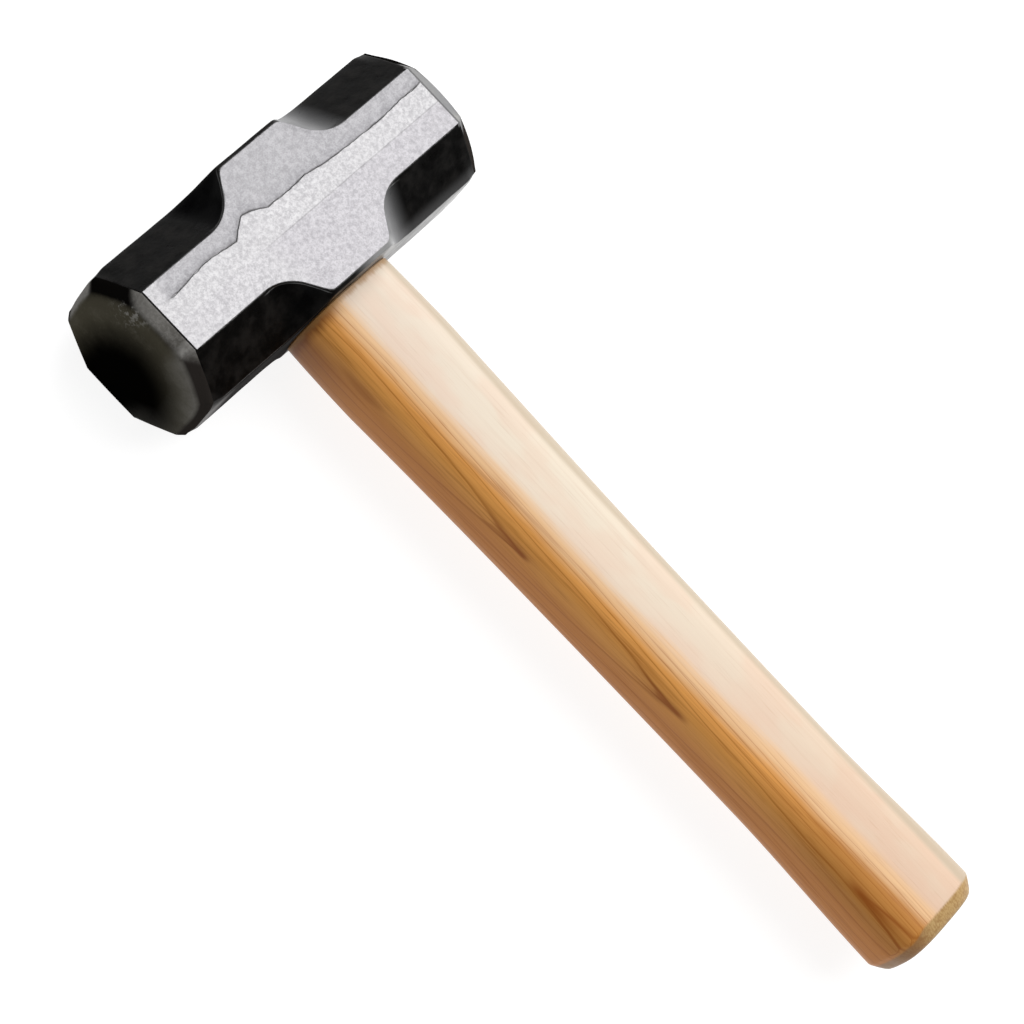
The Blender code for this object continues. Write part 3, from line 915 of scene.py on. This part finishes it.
def worn_ends():
    """The striking faces and bevels: a film of paint, grey on the outer facets that is partly rubbed
    paint and partly painted highlight, and painted shade that makes each face dark below its middle.
    """
    material, tree, shader, where = new_material("worn_ends")
    x, y, depth = parts_of(tree, where)
    out = maths(tree, "ABSOLUTE", x)
    off_middle = maths(tree, "ABSOLUTE", depth)
    marks = grain(tree, where, 170, 4, 0.62)
    fine = grain(tree, where, 1100, 3, 0.6)
    drift = wave(tree, marks, 3)
    ring_x = ARM_END + FACE_BEVEL_LENGTH

    # Painted shade: the face darkens towards a spot below its middle, less so on the +X face.
    level = maths(tree, "DIVIDE", total(tree, depth, drift, 14 * MM), 30 * MM)
    aside = maths(tree, "DIVIDE", total(tree, y, drift, 1 * MM), 18 * MM)
    aside = product(tree, aside, ramp(tree, y, 6, -6, 1.0, 0.86))
    shade_bowl = total(tree, product(tree, level, level), product(tree, aside, aside))
    low = mix(tree, ramp(tree, x, -20, 20), FACE_SHADED_MIDDLE, FACE_LIT_MIDDLE)
    base = mix(tree, fade(tree, shade_bowl, 0.27, 1.3), low, FACE_HIGH)
    scuffs = fade(tree, total(tree, product(tree, marks, 0.7), product(tree, fine, 0.3)), 0.48, 0.68)
    base = cover(tree, base, FACE_SCUFF, scuffs, fade(tree, shade_bowl, 0.5, 1.2, 0.0, 0.4))

    high = ramp(tree, total(tree, off_middle, wave(tree, marks, 2)), 19.5, 21.8)
    top = ramp(tree, total(tree, y, wave(tree, marks, 1.5)), 19, 20.2)
    top = product(tree, top, ramp(tree, off_middle, 10.5, 7))
    outer = maths(tree, "MAXIMUM", high, top)
    ragged_out = total(tree, out, wave(tree, marks, 0.7))
    on_bevel = fade(tree, ragged_out, ring_x + 0.2 * MM, ring_x - 0.8 * MM)
    # The outer facets are grey, partly rubbed paint and partly painted highlight, and lighter on the
    # +X end.
    rubbed_and_lit = mix(tree, ramp(tree, x, -20, 20), BEVEL_NEAR, BEVEL_FAR_HIGHLIGHT)
    rubbed_and_lit = cover(tree, rubbed_and_lit, BEVEL_SPECK, fade(tree, fine, 0.4, 0.7, 0.0, 0.2))
    edge = product(tree, ramp(tree, off_middle, 19.5, 20.8), ramp(tree, y, -6, 4))
    brighter = total(tree, product(tree, top, 0.4), product(tree, edge, 0.2))
    rubbed_and_lit = cover(tree, rubbed_and_lit, BEVEL_SPECK, brighter)
    facet = mix(tree, ramp(tree, y, 5, -10), BEVEL_CHAMFER, BEVEL_LOWER)
    base = cover(tree, base, mix(tree, outer, facet, rubbed_and_lit), on_bevel)
    knock = product(tree, hairline(tree, total(tree, y, 8.5 * MM), 2.6 * MM), high, on_bevel)
    base = cover(tree, base, BEVEL_SPECK, knock, fade(tree, marks, 0.35, 0.55, 0.3, 0.8))

    rim = hairline(tree, maths(tree, "SUBTRACT", out, ring_x - 0.1 * MM), 0.9 * MM)
    lower_corner = product(tree, ramp(tree, y, -4, -10), ramp(tree, depth, -6, 8, 0.25, 1.0))
    base = cover(tree, base, RIM_RUBBED, rim, lower_corner, fade(tree, marks, 0.3, 0.6, 0.5, 0.9))
    chips = fade(tree, grain(tree, where, 650, 3, 0.6), 0.5, 0.64)
    chipped = product(tree, ramp(tree, y, 1, 7), ramp(tree, y, 15, 10), ramp(tree, depth, 8, 15))
    base = cover(tree, base, BEVEL_SPECK, rim, chips, chipped, 0.65)
    link_surface(tree, shader, base, fade(tree, marks, 0.3, 0.7, 0.62, 0.48))
    shader.inputs["Specular IOR Level"].default_value = 0.0
    height = total(tree, product(tree, marks, 0.75), product(tree, fine, 0.25))
    bump(tree, shader, height, 0.6, 0.3)
    return material


def growth_rings(tree, x, y, depth, where):
    """A share that is high in the dark late wood of each growth ring.

    The rings lie nearly flat under the -X side, so the surface cuts them into long pointed figures.
    """
    slow = wave(tree, grain(tree, where, (70, 14, 70), 2, 0.5), 1.3)
    quick = wave(tree, grain(tree, where, (260, 60, 260), 2, 0.5), 0.25)
    aside = product(tree, x, -math.cos(RING_TILT))
    across = total(tree, aside, product(tree, depth, math.sin(RING_TILT)))
    climb = product(tree, y, y, -RING_CLIMB)
    number = maths(tree, "DIVIDE", total(tree, across, climb, slow, quick), RING_STEP)
    phase = maths(tree, "FRACT", number)
    broad = product(tree, fade(tree, phase, 0.45, 0.95), 0.15)
    sharp = product(tree, fade(tree, phase, 0.8, 0.95), 0.85)
    return product(tree, total(tree, broad, sharp), fade(tree, phase, 1.0, 0.96))


def pointed_mark(tree, y, depth, x, tip, level, length, half):
    """A dark V on the -X side, which opens from its tip towards the head or, backwards, the butt."""
    ahead = maths(tree, "DIVIDE", maths(tree, "SUBTRACT", y, tip), length)
    off = maths(tree, "ABSOLUTE", maths(tree, "SUBTRACT", depth, level))
    lines = hairline(tree, maths(tree, "SUBTRACT", off, product(tree, ahead, half)), 0.55 * MM)
    filled = product(tree, ramp(tree, off, 1.3, 0.1), fade(tree, ahead, 0.6, 0.1))
    on_side = ramp(tree, x, -5, -9)
    here = product(tree, fade(tree, ahead, -0.1, 0.08), fade(tree, ahead, 1.0, 0.2), on_side)
    return product(tree, maths(tree, "MAXIMUM", lines, filled), here)


def varnished_wood():
    """Straight-grained varnished hickory: pale sapwood on one side, tan heartwood on the other, with
    painted shade under the head and along the edges.
    """
    material, tree, shader, where = new_material("varnished_wood")
    x, y, depth = parts_of(tree, where)
    lean = total(tree, product(tree, x, math.sin(SAP_TILT)), product(tree, depth, math.cos(SAP_TILT)))
    streaks = grain(tree, where, (900, 18, 900), 3, 0.6)
    fibres = grain(tree, where, (2400, 70, 2400), 2, 0.5)
    clouds = grain(tree, where, (120, 55, 120), 2, 0.5)
    butt = fade(tree, y, -90 * MM, BUTT_Y)
    neck = ramp(tree, y, -95, -35)

    winding = grain(tree, where, (45, 28, 45), 2, 0.5)
    drift = total(tree, wave(tree, streaks, 2.6), wave(tree, winding, 3.5), -0.5 * MM)
    low_end = ramp(tree, y, -175, -245, 0.0, -1.5 * MM)
    shifts = (product(tree, butt, -2.4 * MM), product(tree, neck, -0.4 * MM), low_end)
    place = total(tree, lean, drift, *shifts)
    sap = mix(tree, neck, mix(tree, butt, SAP_LIGHT, SAP_BUTT), SAP_NECK)
    blush = total(tree, fade(tree, clouds, 0.42, 0.6, 0.0, 0.7), ramp(tree, place, 8, 2, 0.0, 0.5))
    sap = tint(tree, sap, SAP_PINK, blush)
    heart = mix(tree, ramp(tree, y, -180, -228), HEART, HEART_BUTT)
    # Painted shade: the heartwood is darker still on the side that faces away from the light.
    heart = cover(tree, heart, HEART_SHADE_SIDE, ramp(tree, lean, -9, -13.5))
    base = mix(tree, ramp(tree, place, -5.5, -1.8), heart, AMBER)
    base = cover(tree, base, sap, ramp(tree, place, -1.3, 2.6))
    inside = ramp(tree, place, 1.5, -4)

    late = growth_rings(tree, x, y, depth, where)
    base = cover(tree, base, LATE_WOOD, late, fade(tree, inside, 0.0, 1.0, 0.03, 0.55))
    lines = fade(tree, streaks, 0.5, 0.68)
    base = cover(tree, base, LATE_WOOD, lines, fade(tree, inside, 0.0, 1.0, 0.05, 0.4))
    marks = wave(tree, winding, 1.5)
    for mark in FLAMES:
        flame = pointed_mark(tree, y, total(tree, depth, marks), x, *(value * MM for value in mark))
        base = cover(tree, base, FLAME_DARK, flame, 0.9)
    base = cover(tree, base, LATE_WOOD, fade(tree, fibres, 0.3, 0.6), inside, 0.12)
    pores = fade(tree, fibres, 0.58, 0.72)
    base = cover(tree, base, LATE_WOOD, pores, fade(tree, inside, 0.0, 1.0, 0.1, 0.3))

    # Painted shade: a greyer band along the +X edge of the handle.
    shade_side = ramp(tree, total(tree, lean, product(tree, neck, -1.4 * MM)), 14.2, 15.8)
    base = cover(tree, base, FAR_EDGE_SHADE, shade_side, 0.8)
    cut_y = total(tree, y, wave(tree, fibres, 0.5), ramp(tree, x, -8, -13, 0.0, 1.2 * MM))
    end = fade(tree, cut_y, BUTT_Y + 5.1 * MM, BUTT_Y + 4.1 * MM)
    end_colour = mix(tree, fade(tree, fibres, 0.3, 0.7), END_GRAIN_DARK, END_GRAIN)
    end_colour = cover(tree, end_colour, END_HEART, ramp(tree, x, -6, -13, 0.0, 0.7))
    base = cover(tree, base, end_colour, end)
    # Painted shadow: the wood is darker just under the head, most on the heartwood side, and along the
    # -X side near the head.
    collar = total(tree, y, wave(tree, streaks, 2))
    shadow_under_head = fade(tree, collar, SHOULDER_Y - 5 * MM, SHOULDER_Y - 0.3 * MM)
    base = cover(tree, base, HEAD_SHADOW, shadow_under_head, ramp(tree, place, 1, -6, 0.0, 0.85))
    side_shadow = product(tree, ramp(tree, y, -50, -26), ramp(tree, lean, -9, -16))
    base = cover(tree, base, HEAD_SHADOW, side_shadow, 0.4)
    shadow_hem = fade(tree, collar, SHOULDER_Y - 2.2 * MM, SHOULDER_Y - 0.4 * MM)
    base = cover(tree, base, HEAD_SHADOW_HEM, shadow_hem, 0.7)
    link_surface(tree, shader, base, fade(tree, streaks, 0.3, 0.7, 0.36, 0.46))
    shader.inputs["Specular IOR Level"].default_value = 0.15
    shader.inputs["Coat Weight"].default_value = 0.05
    shader.inputs["Coat Roughness"].default_value = 0.2
    bump(tree, shader, maths(tree, "SUBTRACT", streaks, pores), 0.1, 0.08)
    return material


def wedge_wood():
    """Dry wood of the wedge, with its grain along the wedge's depth."""
    material, tree, shader, where = new_material("wedge_wood")
    streaks = grain(tree, where, (2600, 60, 1500), 3, 0.6)
    blotches = grain(tree, where, 260, 3, 0.55)
    base = mix(tree, fade(tree, streaks, 0.35, 0.65, 0.0, 0.5), WEDGE_LIGHT, WEDGE_DARK)
    base = cover(tree, base, WEDGE_DARK, fade(tree, blotches, 0.45, 0.7, 0.0, 0.3))
    link_surface(tree, shader, base, fade(tree, streaks, 0.3, 0.7, 0.6, 0.75))
    bump(tree, shader, streaks, 0.3, 0.1)
    return material


def dull_steel():
    """Cast steel of the wedges, bruised by the hammer that drove them."""
    material, tree, shader, where = new_material("wedge_steel")
    marks = grain(tree, where, 500, 4, 0.65)
    base = mix(tree, fade(tree, marks, 0.35, 0.65), CAST_DARK, CAST_LIGHT)
    shader.inputs["Metallic"].default_value = 1.0
    link_surface(tree, shader, base, fade(tree, marks, 0.3, 0.7, 0.55, 0.35))
    bump(tree, shader, marks, 0.4, 0.15)
    return material


# Stage

AIM = Vector((-4.8 * MM, -95.7 * MM, MID_Z))  # the point that the camera and the light look at
FLOOR_DROP = 0.05 * MM  # keeps the floor clear of the cheek
FLOOR_GREY = (0.20, 0.20, 0.20, 1)
WHITE = (1, 1, 1, 1)


def make_floor():
    """A large pale floor, a little luminous so that shadows stay soft."""
    size = 6.0
    corners = [(-size, -size, 0), (size, -size, 0), (size, size, 0), (-size, size, 0)]
    floor = new_object("floor", corners, [(0, 1, 2, 3)])
    floor.location.z = HEAD_LOW.z - FLOOR_DROP
    material, _, shader, _ = new_material("pale_floor")
    shader.inputs["Base Color"].default_value = FLOOR_GREY
    shader.inputs["Roughness"].default_value = 0.9
    shader.inputs["Emission Color"].default_value = WHITE
    shader.inputs["Emission Strength"].default_value = 0.88
    floor.data.materials.append(material)


def direction(azimuth, elevation):
    """A unit vector, from angles in degrees. The azimuth counts from +X."""
    turn = math.radians(azimuth)
    rise = math.radians(elevation)
    level = math.cos(rise)
    return Vector((math.cos(turn) * level, math.sin(turn) * level, math.sin(rise)))


def add_sun(name, azimuth, elevation, spread_angle, irradiance):
    """A wide, even light from one direction, like a large softbox."""
    light = bpy.data.lights.new(name, "SUN")
    light.angle = math.radians(spread_angle)
    light.energy = irradiance
    lamp = bpy.data.objects.new(name, light)
    way = direction(azimuth, elevation)
    lamp.location = AIM + way
    lamp.rotation_euler = way.to_track_quat("Z", "Y").to_euler()
    bpy.context.scene.collection.objects.link(lamp)


def set_world(low, high):
    """Pale light from all round, dim at the horizon and brighter overhead."""
    world = bpy.data.worlds.new("studio")
    world.use_nodes = True
    tree = world.node_tree
    where = node(tree, "ShaderNodeTexCoord").outputs["Generated"]
    height = node(tree, "ShaderNodeSeparateXYZ", {"Vector": where}).outputs[2]
    background = tree.nodes["Background"]
    background.inputs["Color"].default_value = WHITE
    tree.links.new(fade(tree, height, 0.25, 0.8, low, high), background.inputs["Strength"])
    bpy.context.scene.world = world


def add_camera(azimuth, elevation, roll, distance, lens):
    """A camera that looks at the aim from a direction, rolled about its own axis."""
    camera = bpy.data.objects.new("camera", bpy.data.cameras.new("camera"))
    camera.data.lens = lens
    way = direction(azimuth, elevation)
    camera.location = AIM + way * distance
    looking = way.to_track_quat("Z", "Y").to_matrix()
    camera.rotation_euler = (looking @ Euler((0, 0, math.radians(roll))).to_matrix()).to_euler()
    bpy.context.scene.collection.objects.link(camera)
    bpy.context.scene.camera = camera


def build():
    """Make the visual pieces, the stage, the lights and the camera."""
    head = make_head()
    paints = (black_paint("matt_paint", 0.0, 0.9), black_paint("glossy_paint", 0.9, 1.5))
    for material in (black_paint("black_paint", 0.055), bare_steel(), worn_ends(), *paints):
        head.data.materials.append(material)
    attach(head, "root")
    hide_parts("head")

    handle = make_handle()
    handle.data.materials.append(varnished_wood())
    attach(handle, "root")
    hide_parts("handle")

    steel = dull_steel()
    wedges = {"wooden_wedge": wedge_wood(), "steel_wedge_1": steel, "steel_wedge_2": steel}
    for name, material in wedges.items():
        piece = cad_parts[name]
        piece.data.materials.clear()
        piece.data.materials.append(material)

    make_floor()
    set_world(low=0.06, high=0.5)
    add_sun("key_light", azimuth=0, elevation=55, spread_angle=70, irradiance=3.9)
    add_camera(azimuth=177.775, elevation=59.364, roll=48.529, distance=0.9405, lens=124.1)
    bpy.context.scene.view_settings.view_transform = "Standard"


build()
